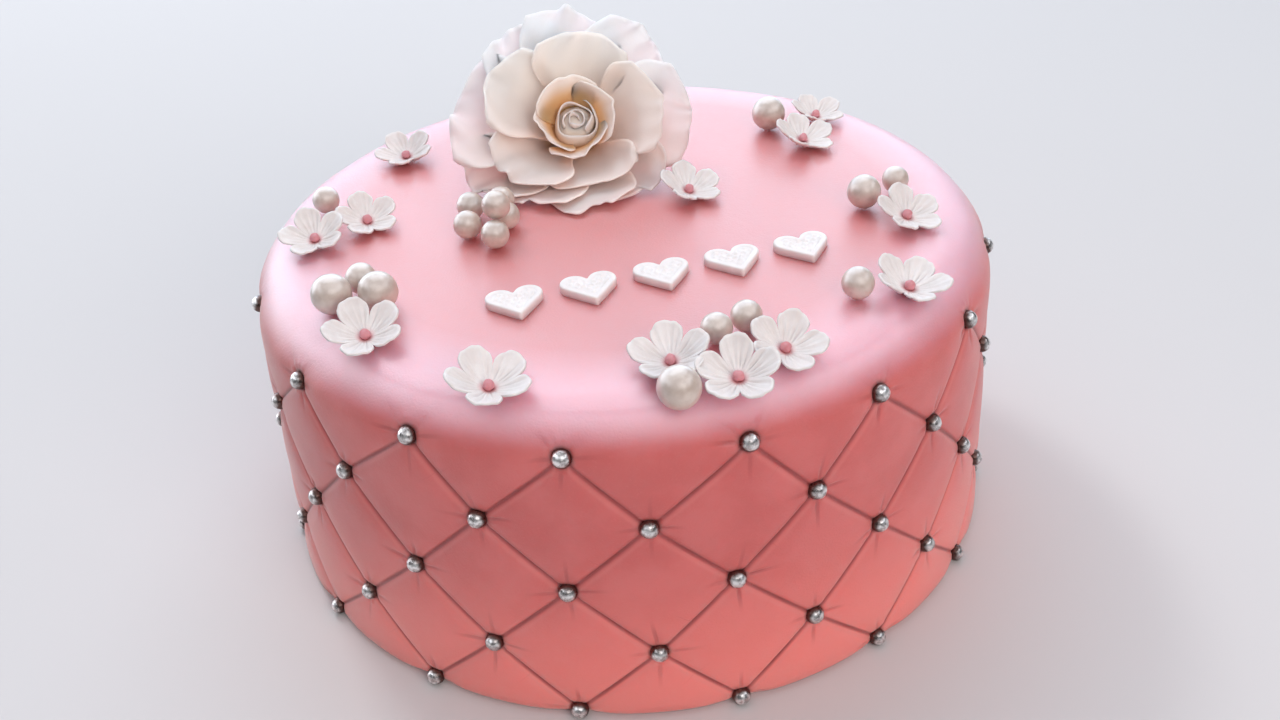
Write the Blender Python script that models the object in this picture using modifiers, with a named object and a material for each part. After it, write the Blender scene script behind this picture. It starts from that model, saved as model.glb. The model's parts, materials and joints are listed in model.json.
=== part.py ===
"""Quilted fondant cake: a round cake under pink sugar paste, pressed into diamonds with a silver bead at each
crossing, and dressed on top with a sugar rose, cupped five-petal blossoms, sugar pearls and a row of hearts.
Metres, +Z up, origin at the middle of the flat base. -Y is the front."""

import math
import random

import bmesh
import bpy
import numpy as np
from mathutils import Matrix, Vector

# Cake under its paste, measured where the silver beads sit
BASE_RADIUS = 0.105
HEIGHT = 0.0915
LEAN = math.atan(0.038)
EDGE_ROUNDING = 0.0189
EDGE_FULLNESS = 0.0018
EDGE_SAMPLES = 200
FOOT_TUCK = 0.0018

# Quilting
COLUMNS = 16
FIRST_COLUMN_TURN = -0.179
BEAD_ROWS = 5
TOP_ROW_REACH = 0.0223
ROW_STEP = 0.0194
PUFF = 0.0010
PUFF_POWER = 4
GROOVE_DEPTH = 0.0008
GROOVE_HALF_SHARE = 0.07
DIMPLE_DEPTH = 0.0003
DIMPLE_SHARE = 0.12
FADE_ROWS = 0.85
FLAT_TOP_SHARE = 0.97

# Silver beads, and how far to the right those of the top row were set by eye
BEAD_RADIUS = 0.0022
BEAD_SIDES = 6
BEAD_RINGS = 3
TOP_ROW_DRIFT = {-2: 0.0035, -1: 0.0040, 0: 0.0015, 1: 0.0035, 2: -0.0010}
BEAD_WANDER = 0.0004

# Gap between pieces that touch
GAP = 0.0003

# Sugar pearls: right of centre, behind centre, across
PEARLS = (
    (0.0102, -0.0965, 0.0100),
    (0.0203, -0.0758, 0.0076),
    (0.0278, -0.0712, 0.0076),
    (-0.0722, -0.0492, 0.0102),
    (-0.0607, -0.0494, 0.0100),
    (-0.0663, -0.0405, 0.0080),
    (-0.0832, 0.0075, 0.0076),
    (-0.0412, -0.0030, 0.0077),
    (-0.0412, -0.0145, 0.0077),
    (-0.0328, -0.0004, 0.0076),
    (-0.0310, -0.0105, 0.0077),
    (-0.0334, -0.0212, 0.0077),
    (0.0560, -0.0603, 0.0080),
    (0.0668, -0.0130, 0.0092),
    (0.0772, -0.0050, 0.0074),
    (0.0485, 0.0450, 0.0102),
)
# One more rests on two pearls of the left cluster: right, behind, height of its middle, across
STACKED_PEARL = (-0.0327, -0.0160, 0.1017, 0.0077)
PEARL_SUBDIVISIONS = 2

# Blossoms: right, behind, across, direction of the first petal, lean right, lean to the front, propped up by
BLOSSOMS = (
    (0.0092, -0.0835, 0.0188, 92, -4, 10, 0.0),
    (0.0235, -0.0923, 0.0190, 87, -2, 15, 0.0021),
    (0.0353, -0.0815, 0.0182, 71, 9, 16, 0.0),
    (-0.0627, -0.0630, 0.0190, 118, 3, 14, 0.0),
    (-0.0835, -0.0115, 0.0181, 109, -3, 16, 0.0),
    (-0.0705, -0.0026, 0.0172, 115, 10, 18, 0.0),
    (-0.0319, -0.0875, 0.0196, 120, 8, 6, 0.0),
    (0.0200, 0.0025, 0.0178, 106, 15, 14, 0.0),
    (0.0690, -0.0580, 0.0187, 132, 10, 6, 0.0),
    (0.0763, -0.0230, 0.0178, 104, 13, 16, 0.0),
    (-0.0644, 0.0411, 0.0178, 119, -5, 10, 0.0),
    (0.0570, 0.0315, 0.0182, 103, 16, 11, 0.0),
    (0.0640, 0.0500, 0.0168, 112, 12, 6, 0.0),
)
PETALS = 5
POINTS_A_PETAL = 4
NOTCH_SHARE = 0.48
LOBE_POWER = 0.55
CUP_RISE_SHARE = 0.50
CUP_POWER = 1.4
BLOSSOM_THICKNESS = 0.0008
BLOSSOM_CENTRE_RADIUS = 0.0015
BLOSSOM_CENTRE_HEIGHT = 0.0015

# Hearts: a straight row, rising to the right. Lobes and sides are shares of the width
HEARTS = 5
HEART_ROW_MIDDLE = (0.0100, -0.0440)
HEART_SPACING = 0.0190
HEART_ROW_TURN = math.radians(13.5)
HEART_WIDTH = 0.0145
HEART_THICKNESS = 0.0022
HEART_LOBE_RADIUS = 0.25
HEART_LOBE_HEIGHT = 0.17
HEART_NOTCH = 0.25
HEART_WAIST = (0.30, -0.22)
HEART_POINT = -0.48

# Sugar rose: where its stem end sits, and how high it looks
ROSE_FOOT = (-0.0116, 0.0355, 0.0940)
ROSE_LOOKS_UP = math.radians(45)
BUD_RADIUS = 0.0074
BUD_LENGTH = 0.0220
BUD_SIDES = 10
BUD_RINGS = 6
PETAL_THICKNESS = 0.0009
CURVE_STEPS = 12
# Petals spring from inside the bud, and each laps over the next
PETAL_ROOT = (0.0030, 0.0030)
PETAL_ROOT_BREADTH = 0.12
PETAL_WIDEST_AT = 0.62
PETAL_TIP_ROUNDING = 0.46
PETAL_SHOULDERS = (0.13, 2.2)
PETAL_FLATTENS = (0.45, 0.90)
FRILL_WAVES = (5.0, 3.0)
FRILL_CHANGE = 3.1
PETAL_LAP = 0.0010
# Petals that lie along the cake keep this many petal thicknesses between one ring and the next
RING_LAYERS = 3.5
LAP_LAYERS = 1.3
LOWEST_LAYER = 0.7
CLEAR_OF_TOP = 3
# Petals of each ring, set by hand: direction, length, width, lean at the tip, and how much longer on the left
INNER_PETALS = (
    (100, 0.0250, 0.0250, 26, 0.00),
    (195, 0.0225, 0.0230, 21, 0.00),
    (285, 0.0225, 0.0240, 30, 0.00),
    (15, 0.0245, 0.0250, 30, 0.00),
)
MIDDLE_PETALS = (
    (78, 0.0325, 0.0340, 54, 0.00),
    (150, 0.0330, 0.0340, 58, 0.00),
    (222, 0.0310, 0.0320, 58, 0.00),
    (288, 0.0290, 0.0330, 62, 0.00),
    (5, 0.0320, 0.0340, 58, 0.00),
)
OUTER_PETALS = (
    (88, 0.0380, 0.0315, 84, 0.06),
    (118, 0.0370, 0.0290, 82, 0.02),
    (167, 0.0366, 0.0420, 84, 0.03),
    (214, 0.0362, 0.0300, 86, 0.00),
    (245, 0.0362, 0.0270, 80, 0.04),
    (281, 0.0402, 0.0275, 84, -0.13),
    (309, 0.0352, 0.0310, 80, -0.08),
    (3, 0.0355, 0.0340, 84, 0.03),
    (48, 0.0372, 0.0300, 82, 0.06),
)
# Rings of petals, from the middle: lean at the root, roundness across, frill, steps each way, and the petals
ROSE_RINGS = (
    (12, 0.0125, 0.0004, 3, INNER_PETALS),
    (32, 0.0230, 0.0013, 3, MIDDLE_PETALS),
    (48, 0.0420, 0.0025, 4, OUTER_PETALS),
)

COLLECTION_NAME = "Quilted fondant cake"
CUTTER_COLLECTION_NAME = "Guides"


def clear_scene():
    for thing in list(bpy.data.objects):
        bpy.data.objects.remove(thing)


def collection_named(name):
    made = bpy.data.collections.new(name)
    bpy.context.scene.collection.children.link(made)
    return made


def sugar(name, colour, roughness, metallic=0.0):
    finish = bpy.data.materials.new(name)
    finish.use_nodes = True
    shader = finish.node_tree.nodes["Principled BSDF"]
    shader.inputs["Base Color"].default_value = (*colour, 1.0)
    shader.inputs["Roughness"].default_value = roughness
    shader.inputs["Metallic"].default_value = metallic
    return finish


def object_from(shape, name, collection, finish):
    """Turns a bmesh into a smooth-shaded object of this name."""
    mesh = bpy.data.meshes.new(name)
    shape.to_mesh(mesh)
    shape.free()
    mesh.materials.append(finish)
    mesh.shade_smooth()
    thing = bpy.data.objects.new(name, mesh)
    collection.objects.link(thing)
    return thing


def apply_modifiers(thing):
    """Replaces the object's mesh by the one that its modifiers give."""
    bpy.context.view_layer.update()
    graph = bpy.context.evaluated_depsgraph_get()
    mesh = bpy.data.meshes.new_from_object(thing.evaluated_get(graph))
    thing.modifiers.clear()
    thing.data = mesh


def keep_outer_skin(thing):
    """Fills the hollows that fusing has sealed and drops loose scraps, keeping the largest skin."""
    shape = bmesh.new()
    shape.from_mesh(thing.data)
    waiting = set(shape.faces)
    pieces = []
    while waiting:
        piece = [waiting.pop()]
        for face in piece:
            for edge in face.edges:
                if len(edge.link_faces) != 2:
                    continue
                for beside in edge.link_faces:
                    if beside in waiting:
                        waiting.remove(beside)
                        piece.append(beside)
        pieces.append(piece)
    largest = max(pieces, key=len)
    scraps = [face for piece in pieces if piece is not largest for face in piece]
    bmesh.ops.delete(shape, geom=scraps, context="FACES")
    shape.to_mesh(thing.data)
    shape.free()


def union_with(thing, collection):
    """Fuses everything in the collection to the object, and removes it."""
    joint = thing.modifiers.new("Fused", "BOOLEAN")
    joint.operation = "UNION"
    joint.operand_type = "COLLECTION"
    joint.collection = collection
    joint.solver = "EXACT"
    apply_modifiers(thing)
    keep_outer_skin(thing)
    for fused in list(collection.objects):
        bpy.data.objects.remove(fused)


def smooth_step(low, high, value):
    share = min(max((value - low) / (high - low), 0.0), 1.0)
    return share * share * (3 - 2 * share)


# The smooth cake

RIM_TURN = math.pi / 2 - LEAN
SHOULDER_HEIGHT = HEIGHT - EDGE_ROUNDING * (1 - math.cos(RIM_TURN))
FLAT_RADIUS = BASE_RADIUS - math.tan(LEAN) * SHOULDER_HEIGHT - EDGE_ROUNDING * math.sin(RIM_TURN)


def hull(reach):
    """Radius, height and outward direction on the smooth cake, this far down from the edge of the flat top."""
    turn = min(max(reach / EDGE_ROUNDING, 0.0), RIM_TURN)
    down_side = max(reach - EDGE_ROUNDING * RIM_TURN, 0.0)
    rounding = EDGE_ROUNDING + EDGE_FULLNESS * math.sin(math.pi * turn / RIM_TURN) ** 2
    radius = FLAT_RADIUS + rounding * math.sin(turn) + down_side * math.sin(LEAN)
    height = HEIGHT - EDGE_ROUNDING + rounding * math.cos(turn) - down_side * math.cos(LEAN)
    return radius, height, math.sin(turn), math.cos(turn)


def side_point(turn, reach, lift):
    """A point on the cake's skin, lifted off the smooth cake along its outward direction."""
    radius, height, outward, upward = hull(reach)
    radius += lift * outward
    return Vector((radius * math.sin(turn), -radius * math.cos(turn), height + lift * upward))


def top_height(radius, clearance=0.0):
    """Height of something that stands this clear of the top or of its rounded edge."""
    radii, heights = [], []
    for reach in np.linspace(0.0, EDGE_ROUNDING * RIM_TURN, EDGE_SAMPLES):
        edge_radius, edge_height, outward, upward = hull(reach)
        radii.append(edge_radius + clearance * outward)
        heights.append(edge_height + clearance * upward)
    return float(np.interp(radius, radii, heights))


# The quilted skin


def bead_spots():
    """Turn and reach of each crossing of the quilting, keyed by row and column. Row -1 and the row under the
    beads only carry the pattern on."""
    wander = random.Random(7)
    spots = {}
    for row in range(-2, BEAD_ROWS + 1):
        for column in range(COLUMNS):
            signed = column - COLUMNS if column > COLUMNS // 2 else column
            drift = TOP_ROW_DRIFT.get(signed, 0.0) if row == 0 else 0.0
            drift += wander.uniform(-BEAD_WANDER, BEAD_WANDER)
            down = wander.uniform(-BEAD_WANDER, BEAD_WANDER) if row < BEAD_ROWS - 1 else 0.0
            step = column + 0.5 * (row % 2)
            turn = FIRST_COLUMN_TURN + step * 2 * math.pi / COLUMNS + drift / BASE_RADIUS
            spots[row, column] = (turn, TOP_ROW_REACH + row * ROW_STEP + down)
    return spots


def spot_at(spots, a, b):
    """Turn and reach of the crossing where diagonals a and b meet, on past the seam at the back."""
    row = a - b
    step = (a + b) / 2
    column = math.floor(step - 0.5 * (row % 2) + 0.25)
    turn, reach = spots[row, column % COLUMNS]
    return turn + (column // COLUMNS) * 2 * math.pi, reach


def quilt_lift(share_a, share_b, row):
    """How far the paste stands off the smooth cake, from its place inside a diamond."""
    from_a = min(share_a, 1 - share_a)
    from_b = min(share_b, 1 - share_b)
    crown = (1 - (1 - 2 * from_a) ** PUFF_POWER) * (1 - (1 - 2 * from_b) ** PUFF_POWER)
    near_groove = max(1 - min(from_a, from_b) / GROOVE_HALF_SHARE, 0.0)
    near_bead = max(1 - math.hypot(from_a, from_b) / DIMPLE_SHARE, 0.0)
    lift = PUFF * crown - GROOVE_DEPTH * near_groove - DIMPLE_DEPTH * near_bead
    return lift * smooth_step(-FADE_ROWS, 0.0, row)


def add_diamond(sheet, middle_a, middle_b):
    """One diamond of the quilting, laid flat: columns run along x and rows run down y."""
    made = bmesh.ops.create_grid(sheet, x_segments=4, y_segments=4, size=0.5)
    for corner in made["verts"]:
        shares = []
        for flat in corner.co.xy:
            near_edge = 0.5 - GROOVE_HALF_SHARE
            share = math.copysign(near_edge, flat) if 0.1 < abs(flat) < 0.4 else flat
            shares.append(share)
        a = middle_a + shares[0]
        b = middle_b + shares[1]
        corner.co = ((a + b) / 2, b - a, 0.0)


def flat_quilting():
    """The whole side as a flat sheet, cut straight one row above the beads and at the lowest beads."""
    sheet = bmesh.new()
    for row in range(-1, BEAD_ROWS):
        for column in range(COLUMNS):
            step = column + 0.5 * ((row + 1) % 2)
            add_diamond(sheet, step + row / 2, step - row / 2)
    bmesh.ops.remove_doubles(sheet, verts=sheet.verts, dist=1e-4)
    for row, side in ((-1, 1), (BEAD_ROWS - 1, -1)):
        everything = list(sheet.verts) + list(sheet.edges) + list(sheet.faces)
        bmesh.ops.bisect_plane(
            sheet, geom=everything, dist=1e-4, plane_co=(0, -row, 0), plane_no=(0, side, 0), clear_outer=True
        )
    return sheet


def wrap_round(sheet, spots):
    """Bends the flat sheet round the cake and presses the quilting into it."""
    for corner in sheet.verts:
        step, row = corner.co.x, -corner.co.y
        a, b = step + row / 2, step - row / 2
        cell_a, cell_b = math.floor(a + 1e-6), math.floor(b + 1e-6)
        share_a, share_b = a - cell_a, b - cell_b
        turn = reach = 0.0
        for next_a in (0, 1):
            for next_b in (0, 1):
                weight = (share_a if next_a else 1 - share_a) * (share_b if next_b else 1 - share_b)
                if weight < 1e-5:
                    continue
                spot_turn, spot_reach = spot_at(spots, cell_a + next_a, cell_b + next_b)
                turn += weight * spot_turn
                reach += weight * spot_reach
        corner.co = side_point(turn, reach, quilt_lift(share_a, share_b, row))
    bmesh.ops.remove_doubles(sheet, verts=sheet.verts, dist=1e-6)


def close_ring(skin, ring, shrink_to, height):
    """Carries an open ring of edges on to a smaller ring at this height."""
    grown = bmesh.ops.extrude_edge_only(skin, edges=ring)["geom"]
    corners = [piece for piece in grown if isinstance(piece, bmesh.types.BMVert)]
    for corner in corners:
        flat = corner.co.xy.normalized() * shrink_to(corner.co.xy.length)
        corner.co = (flat.x, flat.y, height)
    return [edge for edge in grown if isinstance(edge, bmesh.types.BMEdge) and edge.is_boundary]


def cake_skin(spots):
    skin = flat_quilting()
    wrap_round(skin, spots)
    boundary = [edge for edge in skin.edges if edge.is_boundary]
    top_ring = [edge for edge in boundary if edge.verts[0].co.z > HEIGHT / 2]
    foot_ring = [edge for edge in boundary if edge.verts[0].co.z < HEIGHT / 2]
    top_ring = close_ring(skin, top_ring, lambda radius: FLAT_RADIUS * FLAT_TOP_SHARE, HEIGHT)
    foot_ring = close_ring(skin, foot_ring, lambda radius: radius - FOOT_TUCK, 0.0)
    for ring in (top_ring, foot_ring):
        bmesh.ops.contextual_create(skin, geom=ring)
    bmesh.ops.recalc_face_normals(skin, faces=skin.faces)
    return skin


def add_bead(turn, reach, collection, finish):
    shape = bmesh.new()
    bmesh.ops.create_uvsphere(shape, u_segments=BEAD_SIDES, v_segments=BEAD_RINGS, radius=BEAD_RADIUS)
    bead = object_from(shape, "bead", collection, finish)
    _, _, outward, upward = hull(reach)
    facing = Vector((outward * math.sin(turn), -outward * math.cos(turn), upward))
    bead.matrix_world = Matrix.Translation(side_point(turn, reach, 0.0)) @ upright_to(facing)


def upright_to(facing):
    """Rotation that turns +Z to this direction."""
    return Vector((0, 0, 1)).rotation_difference(facing).to_matrix().to_4x4()


def add_cake(parts, guides, paste, silver):
    spots = bead_spots()
    cake = object_from(cake_skin(spots), "quilted_cake", parts, paste)
    cake.data.materials.append(silver)
    for (row, _), (turn, reach) in spots.items():
        if 0 <= row < BEAD_ROWS:
            add_bead(turn, reach, guides, silver)
    union_with(cake, guides)


# Pearls


def add_pearls(parts, finish):
    places = []
    for right, behind, across in PEARLS:
        height = top_height(math.hypot(right, behind), across / 2 + GAP)
        places.append((Vector((right, behind, height)), across))
    places.append((Vector(STACKED_PEARL[:3]), STACKED_PEARL[3]))
    for count, (place, across) in enumerate(places, 1):
        shape = bmesh.new()
        bmesh.ops.create_icosphere(shape, subdivisions=PEARL_SUBDIVISIONS, radius=across / 2)
        pearl = object_from(shape, f"pearl_{count:02d}", parts, finish)
        pearl.location = place


# Blossoms


def blossom_shape():
    """A cupped five-petal blossom one unit in radius, open at its rim, with its first petal along +X."""
    flower = bmesh.new()
    sides = PETALS * POINTS_A_PETAL
    bmesh.ops.create_circle(flower, cap_ends=True, cap_tris=True, segments=sides, radius=1.0)
    for corner in flower.verts:
        angle = math.atan2(corner.co.y, corner.co.x)
        phase = (angle * PETALS / (2 * math.pi) + 0.5) % 1.0
        lobe = NOTCH_SHARE + (1 - NOTCH_SHARE) * math.sin(math.pi * phase) ** LOBE_POWER
        reach = corner.co.length * lobe
        corner.co = (reach * math.cos(angle), reach * math.sin(angle), CUP_RISE_SHARE * reach**CUP_POWER)
    return flower


def add_blossoms(parts, guides, white, pink):
    for count, blossom_values in enumerate(BLOSSOMS, 1):
        right, behind, across, first_petal, lean_right, lean_front, propped = blossom_values
        shape = blossom_shape()
        bmesh.ops.scale(shape, vec=(across / 2,) * 3, verts=shape.verts)
        blossom = object_from(shape, f"blossom_{count:02d}", parts, white)
        blossom.data.materials.append(pink)
        skin = blossom.modifiers.new("Thickness", "SOLIDIFY")
        skin.thickness = BLOSSOM_THICKNESS
        skin.offset = 1.0
        apply_modifiers(blossom)
        ball = bmesh.new()
        bmesh.ops.create_icosphere(ball, subdivisions=1, radius=BLOSSOM_CENTRE_RADIUS)
        bmesh.ops.translate(ball, vec=(0, 0, BLOSSOM_CENTRE_HEIGHT), verts=ball.verts)
        object_from(ball, "centre", guides, pink)
        union_with(blossom, guides)
        spin = Matrix.Rotation(math.radians(first_petal), 4, "Z")
        lean = Vector((math.sin(math.radians(lean_right)), -math.sin(math.radians(lean_front)), 1.0))
        pose = Matrix.Translation((right, behind, 0.0)) @ upright_to(lean.normalized()) @ spin
        corners = [pose @ corner.co for corner in blossom.data.vertices]
        rise = max(top_height(corner.xy.length) - corner.z for corner in corners)
        blossom.matrix_world = Matrix.Translation((0.0, 0.0, rise + GAP + propped)) @ pose


# Hearts


def heart_outline():
    """Corner points of a heart one unit wide: two round lobes, drawn down to a point."""
    notch = Vector((0.0, HEART_NOTCH))
    right = []
    for degrees in (120, 72, 24, -24):
        angle = math.radians(degrees)
        across = HEART_LOBE_RADIUS * (1 + math.cos(angle))
        right.append(Vector((across, HEART_LOBE_HEIGHT + HEART_LOBE_RADIUS * math.sin(angle))))
    right.append(Vector(HEART_WAIST))
    left = [Vector((-corner.x, corner.y)) for corner in reversed(right)]
    return [notch] + right + [Vector((0.0, HEART_POINT))] + left


def add_hearts(parts, finish):
    row = Matrix.Rotation(HEART_ROW_TURN, 4, "Z")
    for count in range(HEARTS):
        curve = bpy.data.curves.new("heart", "CURVE")
        curve.dimensions = "2D"
        curve.fill_mode = "BOTH"
        curve.extrude = HEART_THICKNESS / 2
        outline = curve.splines.new("POLY")
        corners = heart_outline()
        outline.points.add(len(corners) - 1)
        for point, corner in zip(outline.points, corners):
            point.co = (corner.x * HEART_WIDTH, corner.y * HEART_WIDTH, 0.0, 1.0)
        outline.use_cyclic_u = True
        guide = bpy.data.objects.new("heart", curve)
        bpy.context.scene.collection.objects.link(guide)
        bpy.context.view_layer.update()
        graph = bpy.context.evaluated_depsgraph_get()
        mesh = bpy.data.meshes.new_from_object(guide.evaluated_get(graph))
        bpy.data.objects.remove(guide)
        shape = bmesh.new()
        shape.from_mesh(mesh)
        bmesh.ops.remove_doubles(shape, verts=shape.verts, dist=1e-6)
        bmesh.ops.recalc_face_normals(shape, faces=shape.faces)
        heart = object_from(shape, f"heart_{count + 1}", parts, finish)
        heart.data.set_sharp_from_angle(angle=math.radians(40))
        along = (count - (HEARTS - 1) / 2) * HEART_SPACING
        middle = Matrix.Translation((*HEART_ROW_MIDDLE, HEIGHT + GAP + HEART_THICKNESS / 2))
        heart.matrix_world = middle @ row @ Matrix.Translation((along, 0, 0))


# Sugar rose


def petal_point(across, rise, ring, petal):
    """A point of a rose petal in the rose's own frame, which looks along +Z from its stem end."""
    root_lean, roundness, frill, _, _ = ring
    facing, length, width, tip_lean, skew = petal
    direction = math.radians(facing)
    shoulder_drop, shoulder_power = PETAL_SHOULDERS
    shaped = rise * (1 - shoulder_drop * abs(across) ** shoulder_power)
    along = shaped + skew * across * rise**2
    out, up = PETAL_ROOT
    for step in range(CURVE_STEPS):
        reached = along * (step + 0.5) / CURVE_STEPS
        lean = math.radians(root_lean + (tip_lean - root_lean) * reached)
        out += math.sin(lean) * length * along / CURVE_STEPS
        up += math.cos(lean) * length * along / CURVE_STEPS
    lean = math.radians(root_lean + (tip_lean - root_lean) * along)
    breadth = PETAL_ROOT_BREADTH
    breadth += (1 - PETAL_ROOT_BREADTH) * math.sin(math.pi / 2 * min(shaped / PETAL_WIDEST_AT, 1.0))
    past_widest = max(shaped - PETAL_WIDEST_AT, 0.0) / PETAL_TIP_ROUNDING
    breadth *= math.sqrt(max(1 - past_widest**2, 0.0))
    bend = out + (max(roundness, out) - out) * smooth_step(*PETAL_FLATTENS, along)
    wrap = across * breadth * width / 2 / bend
    edge = max(abs(across) ** 3, along**4) * along
    waves = across * FRILL_WAVES[0] + along * FRILL_WAVES[1] + direction * FRILL_CHANGE
    ripple = frill * edge * math.sin(waves)
    inward = bend * (1 - math.cos(wrap)) + ripple + PETAL_LAP * across
    flat = Vector((out - math.cos(lean) * inward, bend * math.sin(wrap)))
    up += math.sin(lean) * inward
    flat.rotate(Matrix.Rotation(direction, 2))
    return Vector((flat.x, flat.y, up))


def rose_frame():
    look = Vector((0, -math.cos(ROSE_LOOKS_UP), math.sin(ROSE_LOOKS_UP)))
    return Matrix.Translation(ROSE_FOOT) @ upright_to(look)


def rest_on_top(place, layer):
    """Petals that would dip into the cake lie along its top instead, one over the next."""
    floor = HEIGHT + GAP + PETAL_THICKNESS * (LOWEST_LAYER + layer)
    depth = (place.z - floor) / PETAL_THICKNESS
    if depth < CLEAR_OF_TOP:
        place.z = floor + PETAL_THICKNESS * math.log1p(math.exp(depth))
    return place


def add_rose_petal(ring, petal, rings_outside, frame, collection, finish):
    steps = ring[3]
    shape = bmesh.new()
    bmesh.ops.create_grid(shape, x_segments=steps, y_segments=steps, size=1.0)
    for corner in shape.verts:
        across, rise = corner.co.x, (corner.co.y + 1) / 2
        layer = RING_LAYERS * rings_outside + LAP_LAYERS * (1 + across)
        corner.co = rest_on_top(frame @ petal_point(across, rise, ring, petal), layer)
    sheet = object_from(shape, "petal", collection, finish)
    skin = sheet.modifiers.new("Thickness", "SOLIDIFY")
    skin.thickness = PETAL_THICKNESS
    skin.offset = 0.0
    apply_modifiers(sheet)


def add_rose(parts, guides, finish):
    frame = rose_frame()
    bud = bmesh.new()
    bmesh.ops.create_uvsphere(bud, u_segments=BUD_SIDES, v_segments=BUD_RINGS, radius=1.0)
    bmesh.ops.scale(bud, vec=(BUD_RADIUS, BUD_RADIUS, BUD_LENGTH / 2), verts=bud.verts)
    bmesh.ops.translate(bud, vec=(0, 0, BUD_LENGTH / 2), verts=bud.verts)
    bmesh.ops.transform(bud, matrix=frame, verts=bud.verts)
    rose = object_from(bud, "sugar_rose", parts, finish)
    for inner_rings, ring in enumerate(ROSE_RINGS):
        for petal in ring[-1]:
            add_rose_petal(ring, petal, len(ROSE_RINGS) - 1 - inner_rings, frame, guides, finish)
    union_with(rose, guides)


def main():
    clear_scene()
    parts = collection_named(COLLECTION_NAME)
    guides = collection_named(CUTTER_COLLECTION_NAME)
    guides.hide_render = True
    paste = sugar("Pink sugar paste", (0.78, 0.30, 0.31), 0.5)
    silver = sugar("Silver bead", (0.66, 0.63, 0.62), 0.18, 1.0)
    white = sugar("White petal paste", (0.86, 0.82, 0.81), 0.55)
    pink = sugar("Pink blossom centre", (0.80, 0.26, 0.33), 0.5)
    pearl = sugar("Pearl sugar", (0.84, 0.80, 0.74), 0.25)
    add_cake(parts, guides, paste, silver)
    add_pearls(parts, pearl)
    add_blossoms(parts, guides, white, pink)
    add_hearts(parts, white)
    add_rose(parts, guides, white)


main()
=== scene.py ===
"""Looks of the quilted fondant cake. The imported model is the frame, and each piece made here stands for one
of its nodes in the same metres: +Z up, the origin at the middle of the flat base, -Y the front."""

import json
import math
import random

import bmesh
import bpy
import numpy as np
from mathutils import Matrix, Vector, noise

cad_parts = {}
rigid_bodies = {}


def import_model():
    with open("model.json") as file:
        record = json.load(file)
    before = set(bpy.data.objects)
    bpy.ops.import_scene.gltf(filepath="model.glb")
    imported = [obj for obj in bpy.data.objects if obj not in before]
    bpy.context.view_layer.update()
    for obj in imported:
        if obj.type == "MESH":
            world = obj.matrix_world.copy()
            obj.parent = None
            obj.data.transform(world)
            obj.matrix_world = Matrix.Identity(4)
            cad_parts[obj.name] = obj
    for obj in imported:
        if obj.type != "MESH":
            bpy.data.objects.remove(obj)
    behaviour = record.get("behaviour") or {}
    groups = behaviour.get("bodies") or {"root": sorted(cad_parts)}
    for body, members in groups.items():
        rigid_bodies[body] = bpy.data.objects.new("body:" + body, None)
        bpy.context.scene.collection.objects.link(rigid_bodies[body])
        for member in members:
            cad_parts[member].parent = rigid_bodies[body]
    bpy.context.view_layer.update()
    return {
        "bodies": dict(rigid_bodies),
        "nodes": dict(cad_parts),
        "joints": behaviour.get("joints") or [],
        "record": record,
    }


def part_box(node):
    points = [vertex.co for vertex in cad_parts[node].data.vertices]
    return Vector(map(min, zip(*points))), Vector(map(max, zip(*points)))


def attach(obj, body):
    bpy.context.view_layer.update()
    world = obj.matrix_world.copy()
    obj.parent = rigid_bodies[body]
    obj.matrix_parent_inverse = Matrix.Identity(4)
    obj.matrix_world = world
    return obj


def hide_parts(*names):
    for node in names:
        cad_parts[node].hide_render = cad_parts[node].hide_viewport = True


MM = 0.001

# Cake under its paste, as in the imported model
BASE_RADIUS = 0.105
HEIGHT = 0.0915
LEAN = math.atan(0.038)
EDGE_ROUNDING = 0.0189
EDGE_FULLNESS = 0.0018
EDGE_SAMPLES = 200
FOOT_TUCK = 0.0018
GAP = 0.0003

# Quilting
COLUMNS = 16
FIRST_COLUMN_TURN = -0.179
BEAD_ROWS = 5
TOP_ROW_REACH = 0.0223
ROW_STEP = 0.0194
TOP_ROW_DRIFT = {-2: 0.0035, -1: 0.0040, 0: 0.0015, 1: 0.0035, 2: -0.0010}
BEAD_WANDER = 0.0004
WANDER_SEED = 7
BEAD_RADIUS = 0.0024
DIAMOND_SIDE = 0.0282
PUFF = 0.0010
PUFF_POWER = 4
PUFF_FADE_ROWS = 0.35
LINE_FADE_ROWS = 0.12

# Pressed line between two beads: depth and width of its sharp floor, of its soft shoulders, and how much of
# it is left at the beads
LINE_FLOOR = (0.48 * MM, 0.55 * MM)
LINE_SHOULDER = (0.24 * MM, 1.8 * MM)
LINE_LEFT_AT_BEADS = 0.60
# Where a line and a tuck show their painted shade, in millimetres to the side: from whole to none
LINE_SHADE_SHOWS = (0.20, 0.80)
TUCK_SHADE_SHOWS = (0.10, 0.70)
# Painted highlight below a pressed line, where light catches its lower lip: how far below, and how wide
LINE_LIP_HIGHLIGHT = (1.25 * MM, 0.50 * MM)

# Dimple round a bead, and the lip it raises
DIMPLE = (0.35 * MM, 2.9 * MM)
LIP = (0.16 * MM, 3.9 * MM, 0.8 * MM)

# Short tucks that run out from each bead: from how far, to how far, shares of that between which they fade,
# depth, width at the bead, widening, how many times wider their soft side is, and degrees off true
TUCK_START = (2.4 * MM, 4.2 * MM)
TUCK_LENGTH = (8.5 * MM, 12.5 * MM)
TUCK_FADES = (0.45, 1.0)
TUCK_DEPTH = (0.20 * MM, 0.46 * MM)
TUCK_WIDTH = 0.75 * MM
TUCK_WIDENING = 0.04
TUCK_SOFT_SIDE = 2.0
TUCK_OFF_TRUE = 12
TUCK_SEED = 11
# Tucks run right, down, left and up in turn. The top row has none going up
RIGHT, DOWN, LEFT, UP = range(4)
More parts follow.
